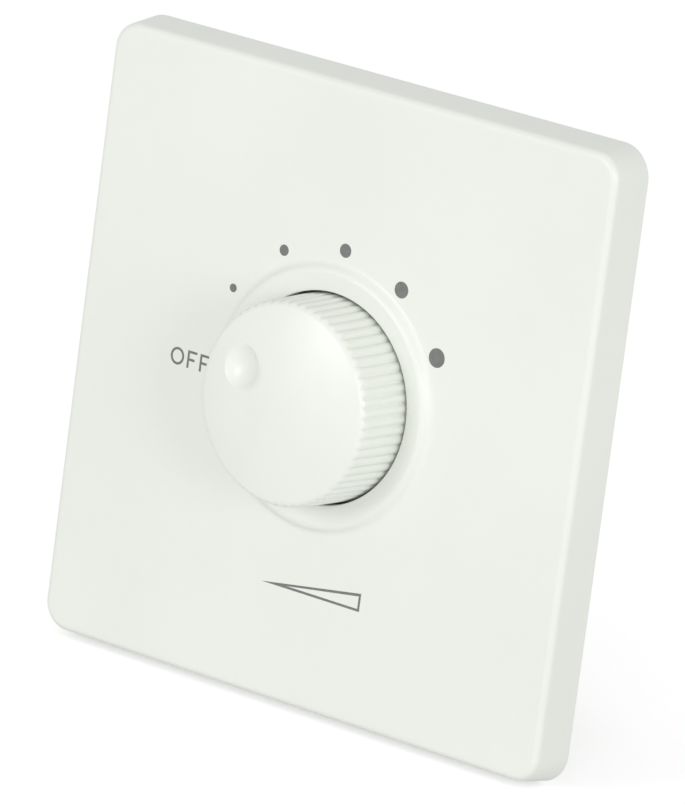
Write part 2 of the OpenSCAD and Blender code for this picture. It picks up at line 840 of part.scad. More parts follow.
// Closed sleeve of the winding's form between the bobbin's flanges
module coil_layer(inner_x, inner_y, outer_x, outer_y) {
    low = bobbin_back_z + flange_t + slip_gap;
    high = bobbin_front_z - flange_t - slip_gap;
    upright() translate([0, core_y, 0]) difference() {
        block([-outer_x, -outer_y, low], [outer_x, outer_y, high]);
        block([-inner_x, -inner_y, low - past], [inner_x, inner_y, high + past]);
    }
}

module coil_winding() {
    color("#B0662E")
        coil_layer(tube_half_x + slip_gap, tube_half_y + slip_gap, winding_half_x, winding_half_y);
}

module coil_tape() {
    color("#E3B93C")
        coil_layer(winding_half_x + slip_gap, winding_half_y + slip_gap,
            winding_half_x + slip_gap + tape_t, winding_half_y + slip_gap + tape_t);
}

module bobbin_pins() {
    color("#CBB67A") upright() for (i = [0:pin_count - 1])
        translate([pin_x(i), pin_tip_y, pin_z]) rotate([90, 0, 0]) post(pin_r, 0, pin_proud + pin_sunk);
}

// Strap over the back of the core with two feet on the frame
module transformer_bracket() {
    half = core_stack / 2;
    back = -core_len - slip_gap;
    outer = bracket_half + bracket_t;
    color("#B9BCBE") upright() translate([0, core_y, 0]) difference() {
        union() {
            block([-outer, -half, back - bracket_t], [outer, half, back]);
            for (x = [-outer, bracket_half]) block([x, -half, back - bracket_t], [x + bracket_t, half, 0]);
            for (x = [-outer - foot_len, bracket_half])
                block([x, -half, -bracket_t], [x + foot_len + bracket_t, half, 0]);
        }
        at_two(foot_x, 0) post(m3_r + slip_gap, -bracket_t - past, past);
    }
}

module bracket_screws() {
    len = frame_t + bracket_t + m3_nut_t + thread_spare;
    color("#C4C6C8") upright() at_two(foot_x, core_y) translate([0, 0, frame_t]) mirror([0, 0, 1])
        pan_screw(m3_r, m3_head_r, m3_head_h, len);
}

module bracket_nuts() {
    color("#C4C6C8") upright() at_two(foot_x, core_y) difference() {
        hexagon(m3_nut_af, -bracket_t - m3_nut_t, -bracket_t);
        post(m3_r + slip_gap / 2, -bracket_t - m3_nut_t - past, past);
    }
}

module circuit_board() {
    color("#2E6B3E") upright() difference() {
        translate([0, board_y, 0])
            block([-board_w / 2, -board_h / 2, board_back_z], [board_w / 2, board_h / 2, board_front_z]);
        at_two(standoff_x, board_y) post(m3_r + slip_gap, board_back_z - past, board_front_z + past);
        at_terminals() post(term_pin_r + slip_gap, board_back_z - past, board_front_z + past);
    }
}

module board_standoffs() {
    color("#C9B26A") upright() at_two(standoff_x, board_y) difference() {
        union() {
            hexagon(2 * standoff_r, board_front_z, 0);
            post(standoff_spigot_r, -past, frame_t);
        }
        post(m3_r + slip_gap / 2, board_front_z - past, board_front_z + board_screw_len + thread_spare);
    }
}

module board_screws() {
    color("#C4C6C8") upright() at_two(standoff_x, board_y) translate([0, 0, board_back_z])
        pan_screw(m3_r, m3_head_r, m3_head_h, board_t + board_screw_len);
}

// One terminal's hollow: the cage's chamber, open upwards for the wire, and the well of its screw
module terminal_cell() {
    floor_y = -terminal_d / 2 + cell_rear_wall;
    block([-cell_w / 2, floor_y, cell_top_z], [cell_w / 2, terminal_d / 2 + past, cell_floor_z]);
    post(clamp_head_r + slip_gap, block_back_z - past, cell_top_z + past);
    post(term_pin_r + slip_gap, cell_floor_z - past, board_back_z + past);
}

module terminal_block() {
    color("#2F7D4F") upright() difference() {
        translate([0, board_y, 0])
            block([-block_w / 2, -terminal_d / 2, block_back_z], [block_w / 2, terminal_d / 2, board_back_z]);
        at_terminals() terminal_cell();
    }
}

// Cage that draws the wire up under the screw
module terminal_clamps() {
    half = cell_w / 2 - slip_gap;
    low = cell_top_z + slip_gap;
    high = cell_floor_z - slip_gap;
    reach = terminal_d / 2 - cell_rear_wall - slip_gap;
    color("#D9D9D2") upright() at_terminals() difference() {
        block([-half, -reach, low], [half, reach, high]);
        block([-half + clamp_wall, -reach - past, low + clamp_wall],
            [half - clamp_wall, reach + past, high - clamp_wall]);
        post(clamp_screw_r + slip_gap / 2, low - past, low + clamp_wall + past);
    }
}

module terminal_screws() {
    seat = block_back_z + clamp_head_sunk + clamp_head_h;
    color("#CFCFC8") upright() at_terminals() translate([0, 0, seat])
        pan_screw(clamp_screw_r, clamp_head_r, clamp_head_h, cell_top_z + 2 * clamp_wall - seat);
}

module terminal_pins() {
    color("#CBB67A") upright() at_terminals()
        post(term_pin_r, cell_floor_z, board_front_z + term_pin_proud);
}

// Insulated lead along a curve given by its two ends and two pull points
module lead(p) {
    n = lead_sides;
    upright() polyhedron(
        points = [for (i = [0:lead_rings]) each lead_ring(p, i / lead_rings)],
        faces = concat(
            [[for (k = [0:n - 1]) k]],
            [for (i = [0:lead_rings - 1], k = [0:n - 1])
                each let (a = i * n + k, b = i * n + (k + 1) % n) [[a, a + n, b], [b, a + n, b + n]]],
            [[for (k = [n - 1:-1:0]) lead_rings * n + k]]
        )
    );
}

// Lead from a fixed contact's lug down to its pin on the bobbin
module tap_lead(step) {
    from = lug_tip(step);
    to = pin_tip(step);
    lead([from, from - [0, 0, lead_bend], to + [0, lead_bend, 0], to]);
}

module tap_lead_1() { color("#7A4B2A") tap_lead(1); }
module tap_lead_2() { color("#B23A2E") tap_lead(2); }
module tap_lead_3() { color("#D9822B") tap_lead(3); }
module tap_lead_4() { color("#D8C23A") tap_lead(4); }
module tap_lead_5() { color("#3F7F4A") tap_lead(5); }

module input_lead() {
    from = [input_pad_x, pad_y, board_back_z];
    to = pin_tip(0);
    color("#B23A2E") lead([from, from - [0, 0, lead_loop], to + [0, lead_loop, 0], to]);
}

module return_lead() {
    from = [return_pad_x, pad_y, board_back_z];
    to = pin_tip(pin_count - 1);
    color("#2A2C2E") lead([from, from - [0, 0, lead_loop], to + [0, lead_loop, 0], to]);
}

module output_lead() {
    from = [output_pad_x, pad_y, board_back_z];
    to = [0, common_r, lug_tip_z];
    color("#E5E5E0") lead([from, from - [0, 0, lead_loop], to - [0, 0, lead_bend], to]);
}

front_cover();
mounting_frame();
knob();
knob_spring();
switch_shaft();
retaining_ring();
panel_nut();
lock_washer();
switch_bushing();
switch_housing();
index_wheel();
detent_spring();
stop_arc();
contact_rotor();
wiper_contact();
contact_wafer();
fixed_contacts();
common_contact();
tie_screws();
transformer_core();
coil_bobbin();
coil_winding();
coil_tape();
bobbin_pins();
transformer_bracket();
bracket_screws();
bracket_nuts();
circuit_board();
board_standoffs();
board_screws();
terminal_block();
terminal_clamps();
terminal_screws();
terminal_pins();
tap_lead_1();
tap_lead_2();
tap_lead_3();
tap_lead_4();
tap_lead_5();
input_lead();
return_lead();
output_lead();
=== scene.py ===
from math import acos, atan2, cos, degrees, hypot, pi, radians, sin, sqrt

import bmesh
import bpy
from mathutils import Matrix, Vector


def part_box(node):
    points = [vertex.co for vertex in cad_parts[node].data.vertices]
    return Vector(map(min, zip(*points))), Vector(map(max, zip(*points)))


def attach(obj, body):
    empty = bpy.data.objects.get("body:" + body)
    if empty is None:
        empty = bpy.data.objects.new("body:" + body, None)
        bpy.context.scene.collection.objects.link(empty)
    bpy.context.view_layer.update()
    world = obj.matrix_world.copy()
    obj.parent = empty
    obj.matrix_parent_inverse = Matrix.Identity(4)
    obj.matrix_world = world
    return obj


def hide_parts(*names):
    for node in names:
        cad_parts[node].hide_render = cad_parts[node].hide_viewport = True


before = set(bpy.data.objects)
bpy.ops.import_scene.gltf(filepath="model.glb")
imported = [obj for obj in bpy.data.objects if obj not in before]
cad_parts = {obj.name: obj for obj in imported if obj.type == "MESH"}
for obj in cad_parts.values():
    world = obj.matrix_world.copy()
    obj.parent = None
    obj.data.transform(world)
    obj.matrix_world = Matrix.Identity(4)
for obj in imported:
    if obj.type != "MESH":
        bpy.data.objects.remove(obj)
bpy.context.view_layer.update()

# Mounting frame: a square of zinc-plated sheet steel, punched in one stroke with the slots for
# the wall screws, the windows for the cover's snap legs and the hole for the switch's neck.
mm = 0.001
cloud_low, cloud_high = 0.3, 0.7
weld_reach = 0.002 * mm
flat_angle = radians(0.6)


def tint(web_colour):
    """Linear colour of a six-figure web colour."""
    parts = [int(web_colour[i:i + 2], 16) / 255 for i in (1, 3, 5)]
    return [c / 12.92 if c <= 0.04045 else ((c + 0.055) / 1.055) ** 2.4 for c in parts] + [1.0]


def finish(name, pale, deep, patch, rough, grain, height, metal=0.0, stretch=(1, 1, 1)):
    """Surface that drifts between two colours in patches, with a fine grain over them.

    patch, grain and height are in millimetres, and rough is the lowest and highest roughness.
    The grain roughens and lifts the surface. Stretch squeezes the pattern along an axis, for
    brushed, drawn or rolled stock.
    """
    material = bpy.data.materials.new(name)
    material.use_nodes = True
    nodes, links = material.node_tree.nodes, material.node_tree.links
    shader = nodes["Principled BSDF"]
    shader.inputs["Metallic"].default_value = metal
    place = nodes.new("ShaderNodeTexCoord")
    squeeze = nodes.new("ShaderNodeMapping")
    squeeze.inputs["Scale"].default_value = stretch
    links.new(place.outputs["Object"], squeeze.inputs["Vector"])

    def cloud(size, detail):
        noise = nodes.new("ShaderNodeTexNoise")
        noise.inputs["Scale"].default_value = 1 / (size * mm)
        noise.inputs["Detail"].default_value = detail
        links.new(squeeze.outputs["Vector"], noise.inputs["Vector"])
        return noise.outputs["Fac"]

    drift = nodes.new("ShaderNodeValToRGB")
    drift.color_ramp.elements[0].position = cloud_low
    drift.color_ramp.elements[0].color = tint(deep)
    drift.color_ramp.elements[1].position = cloud_high
    drift.color_ramp.elements[1].color = tint(pale)
    links.new(cloud(patch, detail=3), drift.inputs["Fac"])
    links.new(drift.outputs["Color"], shader.inputs["Base Color"])

    fine = cloud(grain, detail=4)
    polish = nodes.new("ShaderNodeMapRange")
    polish.inputs["From Min"].default_value = cloud_low
    polish.inputs["From Max"].default_value = cloud_high
    polish.inputs["To Min"].default_value = rough[0]
    polish.inputs["To Max"].default_value = rough[1]
    links.new(fine, polish.inputs["Value"])
    links.new(polish.outputs["Result"], shader.inputs["Roughness"])

    lift = nodes.new("ShaderNodeBump")
    lift.inputs["Distance"].default_value = height * mm
    links.new(fine, lift.inputs["Height"])
    links.new(lift.outputs["Normal"], shader.inputs["Normal"])
    return material


def dress(node, material, edge=0.12, crease=35):
    """Gives a CAD node its finish, and rounds its sharp edges a little, in millimetres."""
    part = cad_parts[node]
    part.data.materials.clear()
    part.data.materials.append(material)
    part.data.shade_smooth()
    weld = part.modifiers.new("joined", "WELD")
    weld.merge_threshold = weld_reach
    flat = part.modifiers.new("whole_faces", "DECIMATE")
    flat.decimate_type = "DISSOLVE"
    flat.angle_limit = flat_angle
    round_off = part.modifiers.new("broken_edges", "BEVEL")
    round_off.width = edge * mm
    round_off.segments = 2
    round_off.limit_method = "ANGLE"
    round_off.angle_limit = radians(crease)
    even = part.modifiers.new("even_faces", "WEIGHTED_NORMAL")
    even.keep_sharp = True
    return part


zinc_sheet = finish(
    "zinc_sheet", pale="#C2C5C7", deep="#B2B5B8", patch=1.6,
    rough=(0.32, 0.44), grain=0.4, height=0.003, metal=1.0, stretch=(1, 1, 3))
dress("mounting_frame", zinc_sheet, edge=0.2)

# Rotary switch: a die-cast front with a threaded neck, a black moulded housing and a laminate wafer
# with tinned brass contacts, held by two long screws. Inside are a bronze leaf that clicks and a
# steel strip with two stops. The neck goes through the frame from behind.
die_cast = finish(
    "die_cast", pale="#BDBBB3", deep="#A5A39B", patch=2.5,
    rough=(0.38, 0.55), grain=0.25, height=0.006, metal=0.9)
dress("switch_bushing", die_cast, edge=0.2)

switch_black = finish(
    "switch_black", pale="#2B2D2F", deep="#1E2022", patch=6,
    rough=(0.35, 0.5), grain=0.2, height=0.004)
dress("switch_housing", switch_black, edge=0.25)

wafer_board = finish(
    "wafer_board", pale="#8A5730", deep="#65401F", patch=3,
    rough=(0.4, 0.55), grain=0.35, height=0.006, stretch=(1, 1, 6))
dress("contact_wafer", wafer_board)

tinned_brass = finish(
    "tinned_brass", pale="#D8CFA8", deep="#B9AC7E", patch=1.2,
    rough=(0.28, 0.45), grain=0.2, height=0.003, metal=1.0)
for piece in ("fixed_contacts", "common_contact"):
    dress(piece, tinned_brass, edge=0.06)

screw_zinc = finish(
    "screw_zinc", pale="#C9CBCD", deep="#AEB1B4", patch=1.5,
    rough=(0.25, 0.4), grain=0.2, height=0.002, metal=1.0)
dress("tie_screws", screw_zinc)

bronze = finish(
    "bronze", pale="#CB9A4C", deep="#B07F35", patch=2,
    rough=(0.28, 0.42), grain=0.25, height=0.002, metal=1.0)
dress("detent_spring", bronze, edge=0.06)

spring_steel = finish(
    "spring_steel", pale="#A6A9AB", deep="#8B8E91", patch=2,
    rough=(0.25, 0.4), grain=0.25, height=0.002, metal=1.0)
dress("stop_arc", spring_steel, edge=0.06)

# Turning pieces of the switch: a steel shaft with a flat, a nylon index wheel with notches, and a
# nylon rotor that carries a bronze wiper. They are pressed on the shaft one behind the other, and
# a spring steel ring keeps the shaft in the neck.
shaft_metal = finish(
    "shaft_metal", pale="#CDCFD0", deep="#B8BABC", patch=3,
    rough=(0.2, 0.32), grain=0.3, height=0.002, metal=1.0, stretch=(1, 12, 1))
dress("switch_shaft", shaft_metal)
dress("retaining_ring", spring_steel, edge=0.06)

natural_nylon = finish(
    "natural_nylon", pale="#E6DFC8", deep="#D8D0B6", patch=4,
    rough=(0.4, 0.52), grain=0.3, height=0.004)
for piece in ("index_wheel", "contact_rotor"):
    dress(piece, natural_nylon)
dress("wiper_contact", bronze, edge=0.06)

# Panel nut: a hexagon turned from brass and plated. It is screwed on the switch's neck and draws
# the switch to the frame, with a toothed lock washer of spring steel.
nut_plating = finish(
    "nut_plating", pale="#CFCABB", deep="#B5AF9E", patch=2,
    rough=(0.25, 0.4), grain=0.2, height=0.002, metal=1.0)
dress("panel_nut", nut_plating, edge=0.25)
dress("lock_washer", spring_steel, edge=0.06)

# Transformer: a stack of steel plates round a nylon bobbin with tinned pins, wound with enamelled
# copper under yellow tape. A bent strap holds the stack to the frame with two screws and nuts.
core_plates = finish(
    "core_plates", pale="#7C7A78", deep="#57544F", patch=2,
    rough=(0.42, 0.62), grain=0.3, height=0.01, metal=0.8, stretch=(1, 1, 8))
dress("transformer_core", core_plates)

bobbin_nylon = finish(
    "bobbin_nylon", pale="#DAD5C2", deep="#CBC5AE", patch=5,
    rough=(0.4, 0.5), grain=0.3, height=0.004)
dress("coil_bobbin", bobbin_nylon, edge=0.2)
dress("bobbin_pins", tinned_brass, edge=0.06)

copper_wire = finish(
    "copper_wire", pale="#B86B36", deep="#8E4A20", patch=1.5,
    rough=(0.2, 0.35), grain=0.3, height=0.01, metal=1.0, stretch=(1, 8, 1))
dress("coil_winding", copper_wire, edge=0.4)

yellow_tape = finish(
    "yellow_tape", pale="#E6BF45", deep="#D2A52E", patch=6,
    rough=(0.15, 0.28), grain=0.6, height=0.006)
dress("coil_tape", yellow_tape, edge=0.25)

dress("transformer_bracket", zinc_sheet, edge=0.2)
for piece in ("bracket_screws", "bracket_nuts"):
    dress(piece, screw_zinc)

# Terminal board: a green glass-fibre board on two hexagon brass standoffs, with a green four-way
# terminal block whose screws face the back and whose wire openings face up. A white printed line
# on the board marks the block's place.
green_board = finish(
    "green_board", pale="#34774A", deep="#27613A", patch=3,
    rough=(0.25, 0.38), grain=0.25, height=0.006)
dress("circuit_board", green_board)

standoff_brass = finish(
    "standoff_brass", pale="#CBB468", deep="#AE9648", patch=2,
    rough=(0.25, 0.4), grain=0.25, height=0.002, metal=1.0)
dress("board_standoffs", standoff_brass)
dress("board_screws", screw_zinc)

terminal_green = finish(
    "terminal_green", pale="#35875A", deep="#2A7049", patch=5,
    rough=(0.35, 0.48), grain=0.25, height=0.004)
dress("terminal_block", terminal_green, edge=0.25)
for piece in ("terminal_clamps", "terminal_screws"):
    dress(piece, screw_zinc, edge=0.08)
dress("terminal_pins", tinned_brass, edge=0.06)

board_low, board_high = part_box("circuit_board")
block_low, block_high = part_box("terminal_block")
print_film = 0.03 * mm
print_line = 0.25 * mm
print_out = 0.7 * mm


def film_loop(mesh, outer, inner, low, high):
    """Adds a thin closed line between two outlines in x and z with the same number of points."""
    loops = []
    for line, y in ((outer, low), (outer, high), (inner, high), (inner, low)):
        loops.append([mesh.verts.new((x, y, z)) for x, z in line])
    count = len(outer)
    for a, b in zip(loops, loops[1:] + loops[:1]):
        for i in range(count):
            j = (i + 1) % count
            mesh.faces.new((a[i], a[j], b[j], b[i]))


def block_outline(out):
    """Corners of a rectangle that stands a little way outside the terminal block, in x and z."""
    left, right = block_low.x - out, block_high.x + out
    bottom, top = block_low.z - out, block_high.z + out
    return [(left, bottom), (right, bottom), (right, top), (left, top)]


def settle(mesh, name, material, body, crease=35):
    """Turns a mesh under construction into a smooth piece that rides on a body."""
    bmesh.ops.recalc_face_normals(mesh, faces=mesh.faces)
    data = bpy.data.meshes.new(name)
    mesh.to_mesh(data)
    mesh.free()
    data.shade_smooth()
    data.set_sharp_from_angle(angle=radians(crease))
    data.materials.append(material)
    piece = bpy.data.objects.new(name, data)
    bpy.context.scene.collection.objects.link(piece)
    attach(piece, body)
    return piece


board_mesh = bmesh.new()
film_loop(
    board_mesh, block_outline(print_out), block_outline(print_out - print_line),
    board_high.y, board_high.y + print_film)
print_white = finish(
    "print_white", pale="#DDDED8", deep="#CFD0C8", patch=1,
    rough=(0.5, 0.62), grain=0.15, height=0.004)
settle(board_mesh, "board_print", print_white, "wall_unit")

# Leads: stranded wire in coloured sleeves, soldered from the wafer's lugs to the pins of the
# bobbin and from the board to the transformer and the wiper's ring.
sleeve_colours = {
    "lead_brown": ("#7D4E2D", "#643B20"),
    "lead_red": ("#B63E32", "#962D24"),
    "lead_orange": ("#DB8630", "#BE6E1F"),
    "lead_yellow": ("#DAC540", "#BFAA2C"),
    "lead_green": ("#43834E", "#316A3B"),
    "lead_black": ("#2E3032", "#222426"),
    "lead_white": ("#E6E6E1", "#D2D2CB"),
}
lead_sleeves = {
    "tap_lead_1": "lead_brown",
    "tap_lead_2": "lead_red",
    "tap_lead_3": "lead_orange",
    "tap_lead_4": "lead_yellow",
    "tap_lead_5": "lead_green",
    "input_lead": "lead_red",
    "return_lead": "lead_black",
    "output_lead": "lead_white",
}
sleeves = {}
for sleeve, (pale, deep) in sleeve_colours.items():
    sleeves[sleeve] = finish(
        sleeve, pale, deep, patch=3, rough=(0.35, 0.5), grain=0.3, height=0.006)
for lead, sleeve in lead_sleeves.items():
    part = dress(lead, sleeves[sleeve], edge=0.02, crease=60)
    round_out = part.modifiers.new("round_sleeve", "SUBSURF")
    round_out.levels = 2
    round_out.render_levels = 2

# Solder: dull tin that holds each lead to its lug, its pin or its pad, and the block's pins to the
# board. It was run in by hand with an iron, so every lump differs a little.
lump_points = 16
lug_lump = (0.35, 0.75, 0.92, 0.9, 0.8, 0.68, 0.6, 0.5)
pin_lump = (0.3, 0.58, 0.74, 0.78, 0.72, 0.64, 0.58, 0.5)
pad_lump = (1.35, 1.12, 0.92, 0.78, 0.68, 0.62, 0.5)
lump_half = 1.0 * mm
lump_oval, lump_dent = 0.07, 0.05
tip_depth = 0.05 * mm
tip_spread = 2.2 * mm
pad_rise = 1.1 * mm
pad_radius = 1.7 * mm
pad_hole = 0.6 * mm
oval_points = 48


def curl(start, end, steps):
    """Angles in radians from start to end, both in degrees."""
    return [radians(start + (end - start) * i / steps) for i in range(steps + 1)]


def skin(mesh, rings, closed):
    """Adds rings of points to a mesh under construction and joins each ring to the next."""
    loops = [[mesh.verts.new(p) for p in ring] for ring in rings]
    count = len(loops[0])
    for a, b in zip(loops, loops[1:] + loops[:1] if closed else loops[1:]):
        for i in range(count):
            j = (i + 1) % count
            mesh.faces.new((a[i], a[j], b[j], b[i]))
    return loops


def tips(node, along, side):
    """Middles of the ends that a node's loose pieces turn to one side of an axis."""
    points = [v.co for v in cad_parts[node].data.vertices]
    edge = max(side * p[along] for p in points)
    groups = []
    for p in points:
        if side * p[along] < edge - tip_depth:
            continue
        near = [g for g in groups if (g[0] - p).length < tip_spread]
        if near:
            near[0].append(p)
        else:
            groups.append([p])
    return [sum(g, Vector()) / len(g) for g in groups]


def lump(mesh, start, end, radii):
    """Adds a lump of solder along a line, given its radius in millimetres at even steps."""
    way = (end - start).normalized()
    side = way.orthogonal().normalized()
    across = way.cross(side)
    rings = []
    for k, radius in enumerate(radii):
        middle = start.lerp(end, k / (len(radii) - 1))
        ring = []
        for i in range(lump_points):
            a = 2 * pi * i / lump_points
            wobble = 1 + lump_oval * sin(2 * a + start.x / mm)
            wobble += lump_dent * sin(3 * a + k + start.z / mm)
            ring.append(middle + (side * cos(a) + across * sin(a)) * radius * mm * wobble)
        rings.append(ring)
    loops = skin(mesh, rings, closed=False)
    mesh.faces.new(loops[0])
    mesh.faces.new(loops[-1])


solder_mesh = bmesh.new()
back, up = Vector((0, 1, 0)), Vector((0, 0, 1))
for tip in tips("fixed_contacts", 1, 1) + tips("common_contact", 1, 1):
    lump(solder_mesh, tip - back * lump_half, tip + back * lump_half, lug_lump)
for tip in tips("bobbin_pins", 2, 1):
    lump(solder_mesh, tip - up * lump_half, tip + up * lump_half, pin_lump)
pads = [tips(lead, 1, -1)[0] for lead in ("input_lead", "return_lead", "output_lead")]
for pad in pads:
    lump(solder_mesh, pad, pad + back * pad_rise, pad_lump)
for tip in tips("terminal_pins", 1, -1):
    foot = Vector((tip.x, board_low.y, tip.z))
    lump(solder_mesh, foot, foot - back * pad_rise, pad_lump)
solder_tin = finish(
    "solder_tin", pale="#C6C8C8", deep="#AEB0B1", patch=0.8,
    rough=(0.24, 0.38), grain=0.2, height=0.004, metal=1.0)
settle(solder_mesh, "solder_joints", solder_tin, "wall_unit", crease=60)


def oval(x, z, half_width, half_height):
    """Outline of an ellipse in x and z."""
    turns = [2 * pi * i / oval_points for i in range(oval_points)]
    return [(x + half_width * cos(a), z + half_height * sin(a)) for a in turns]


pad_mesh = bmesh.new()
for pad in pads:
    rim, hole = [oval(pad.x, pad.z, radius, radius) for radius in (pad_radius, pad_hole)]
    film_loop(pad_mesh, rim, hole, board_high.y, board_high.y + print_film)
settle(pad_mesh, "board_pads", solder_tin, "wall_unit")

# Front cover: a square white moulding with leaning sides, a rounded front edge and a low collar
# round the knob's hole. It is pushed on the frame, and four legs inside it snap into the windows.
cover_low, cover_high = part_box("front_cover")
cover_half = cover_high.x
collar_top = -cover_low.y
collar_rise = 0.9 * mm
cover_face = collar_top - collar_rise
cover_wall = 1.8 * mm
cover_corner = 4.5 * mm
smallest_corner = 0.8 * mm
cover_lean = 0.7 * mm
cover_edge = 1.0 * mm
face_border = 0.4 * mm
rim_edge = 0.2 * mm
hole_radius = 14.3 * mm
hole_edge = 0.15 * mm
collar_width = 3.6 * mm
collar_tuck = 0.2 * mm
collar_bend = 1.2 * mm
collar_border = 0.3 * mm
collar_dish = 0.5 * mm
collar_inner_edge = 0.2 * mm
lining_edge = 0.5 * mm
side_points = 40
corner_points = 12
edge_start = 8
edge_steps = 8


def square_ring(inset, off_wall):
    """Points round the cover's outline, drawn in by an inset, at a distance off the wall."""
    half = cover_half - inset
    corner = max(cover_corner - inset, smallest_corner)
    reach = half - corner
    quarter = [(half, -reach + 2 * reach * i / side_points) for i in range(side_points)]
    for i in range(corner_points):
        turn = pi / 2 * i / corner_points
        quarter.append((reach + corner * cos(turn), reach + corner * sin(turn)))
    ring = []
    for _ in range(4):
        ring += [Vector((x, -off_wall, z)) for x, z in quarter]
        quarter = [(-z, x) for x, z in quarter]
    return ring


def round_ring(radius, off_wall):
    """Points round the hole's axis, in the same directions as the points of the outline."""
    middle = Vector((0, -off_wall, 0))
    return [Vector((p.x, 0, p.z)).normalized() * radius + middle for p in square_ring(0, 0)]


cover_rings = [square_ring(rim_edge, 0), square_ring(0, rim_edge)]
for turn in curl(edge_start, 90, edge_steps):
    inset = cover_lean + cover_edge * (1 - cos(turn))
    cover_rings.append(square_ring(inset, cover_face - cover_edge * (1 - sin(turn))))
cover_rings.append(square_ring(cover_lean + cover_edge + face_border, cover_face))

collar_outer = hole_radius + collar_width - collar_tuck
collar_slope = acos(1 - collar_rise / (2 * collar_bend))
collar_reach = collar_bend * sin(collar_slope)
cover_rings.append(round_ring(collar_outer + collar_reach + collar_border, cover_face))
for turn in curl(0, degrees(collar_slope), edge_steps):
    radius = collar_outer + collar_reach - collar_bend * sin(turn)
    cover_rings.append(round_ring(radius, cover_face + collar_bend * (1 - cos(turn))))
for turn in curl(degrees(collar_slope), 0, edge_steps)[1:]:
    radius = collar_outer - collar_reach + collar_bend * sin(turn)
    cover_rings.append(round_ring(radius, collar_top - collar_bend * (1 - cos(turn))))
lip_top = collar_top - collar_dish
for turn in curl(90, 180, edge_steps):
    radius = hole_radius + collar_inner_edge * (1 + cos(turn))
    cover_rings.append(round_ring(radius, lip_top - collar_inner_edge * (1 - sin(turn))))

lining = cover_face - cover_wall
cavity_inset = cover_lean + cover_wall
cover_rings.append(round_ring(hole_radius, lining + hole_edge))
cover_rings.append(round_ring(hole_radius + hole_edge, lining))
cover_rings.append(square_ring(cavity_inset + lining_edge, lining))
cover_rings.append(square_ring(cavity_inset, lining - lining_edge))
cover_rings.append(square_ring(cavity_inset, rim_edge))
cover_rings.append(square_ring(cavity_inset - rim_edge, 0))
cover_mesh = bmesh.new()
skin(cover_mesh, cover_rings, closed=True)

leg_x, leg_z = 16 * mm, 32 * mm
leg_width, leg_thick = 6 * mm, 1.6 * mm
leg_root = -lining - 0.4 * mm
leg_tip = cover_high.y
leg_nose = 0.8 * mm
nose_seat, nose_end = 0.1 * mm, 0.7 * mm
leg_outline = [
    (-leg_thick, leg_root), (0, leg_root), (0, nose_seat), (leg_nose, nose_seat),
    (leg_nose, nose_end), (0, leg_tip), (-leg_thick, leg_tip),
]
for side_x in (-1, 1):
    for side_z in (-1, 1):
        ends = []
        for x in (side_x * leg_x - leg_width / 2, side_x * leg_x + leg_width / 2):
            end = [(x, y, side_z * (leg_z + out)) for out, y in leg_outline]
            ends.append([cover_mesh.verts.new(p) for p in end])
        for i in range(len(leg_outline)):
            j = (i + 1) % len(leg_outline)
            cover_mesh.faces.new((ends[0][i], ends[0][j], ends[1][j], ends[1][i]))
        cover_mesh.faces.new(ends[0])
        cover_mesh.faces.new(ends[1])

cover_plastic = finish(
    "cover_plastic", pale="#ECEFE8", deep="#E9ECE5", patch=25,
    rough=(0.34, 0.38), grain=0.35, height=0.0004)
front_cover = settle(cover_mesh, "cover_moulding", cover_plastic, "wall_unit")
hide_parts("front_cover")

# Printed scale: grey ink pressed on the cover's face. Five dots grow with the volume, OFF stands at
# the knob's first place, and a long rising wedge below the knob stands for quiet to loud.
ink_film = 0.015 * mm
ink_low, ink_high = -cover_face, -cover_face - ink_film
ink_grey = finish(
    "ink_grey", pale="#787A78", deep="#6C6E6C", patch=0.8,
    rough=(0.5, 0.62), grain=0.1, height=0.002)
dot_count = 5
dot_circle = 20.2 * mm
dot_first, dot_last = 0.58 * mm, 1.3 * mm
dot_lead, dot_step = 147.2, 29.6


def film_patch(mesh, outline, low, high):
    """Adds a thin flat patch, given by its outline in x and z, to a mesh under construction."""
    foot = [mesh.verts.new((x, low, z)) for x, z in outline]
    top = [mesh.verts.new((x, high, z)) for x, z in outline]
    mesh.faces.new(foot)
    mesh.faces.new(top)
    for i in range(len(outline)):
        j = (i + 1) % len(outline)
        mesh.faces.new((foot[i], foot[j], top[j], top[i]))


dots_mesh = bmesh.new()
for i in range(dot_count):
    turn = radians(dot_lead - dot_step * i)
    radius = dot_first + (dot_last - dot_first) * i / (dot_count - 1)
    x, z = dot_circle * cos(turn), dot_circle * sin(turn)
    film_patch(dots_mesh, oval(x, z, radius, radius), ink_low, ink_high)
settle(dots_mesh, "scale_dots", ink_grey, "wall_unit")

letter_height = 2.4 * mm
letter_stroke = 0.34 * mm
letter_gap = 0.56 * mm
letter_o_width = 2.3 * mm
letter_f_width = 1.6 * mm
letter_f_middle = 0.56 * letter_height
off_left, off_foot = -26.0 * mm, -1.5 * mm

off_mesh = bmesh.new()
half_width, half_height = letter_o_width / 2, letter_height / 2
o_x, o_z = off_left + half_width, off_foot + half_height
film_loop(
    off_mesh, oval(o_x, o_z, half_width, half_height),
    oval(o_x, o_z, half_width - letter_stroke, half_height - letter_stroke), ink_low, ink_high)
left = off_left + letter_o_width + letter_gap
top, middle = off_foot + letter_height, off_foot + letter_f_middle
for _ in range(2):
    stem, arm = left + letter_stroke, left + letter_f_width
    film_patch(off_mesh, [
        (left, off_foot), (stem, off_foot), (stem, middle - letter_stroke),
        (arm - letter_stroke, middle - letter_stroke), (arm - letter_stroke, middle),
        (stem, middle), (stem, top - letter_stroke), (arm, top - letter_stroke),
        (arm, top), (left, top),
    ], ink_low, ink_high)
    left = arm + letter_gap
settle(off_mesh, "off_mark", ink_grey, "wall_unit")

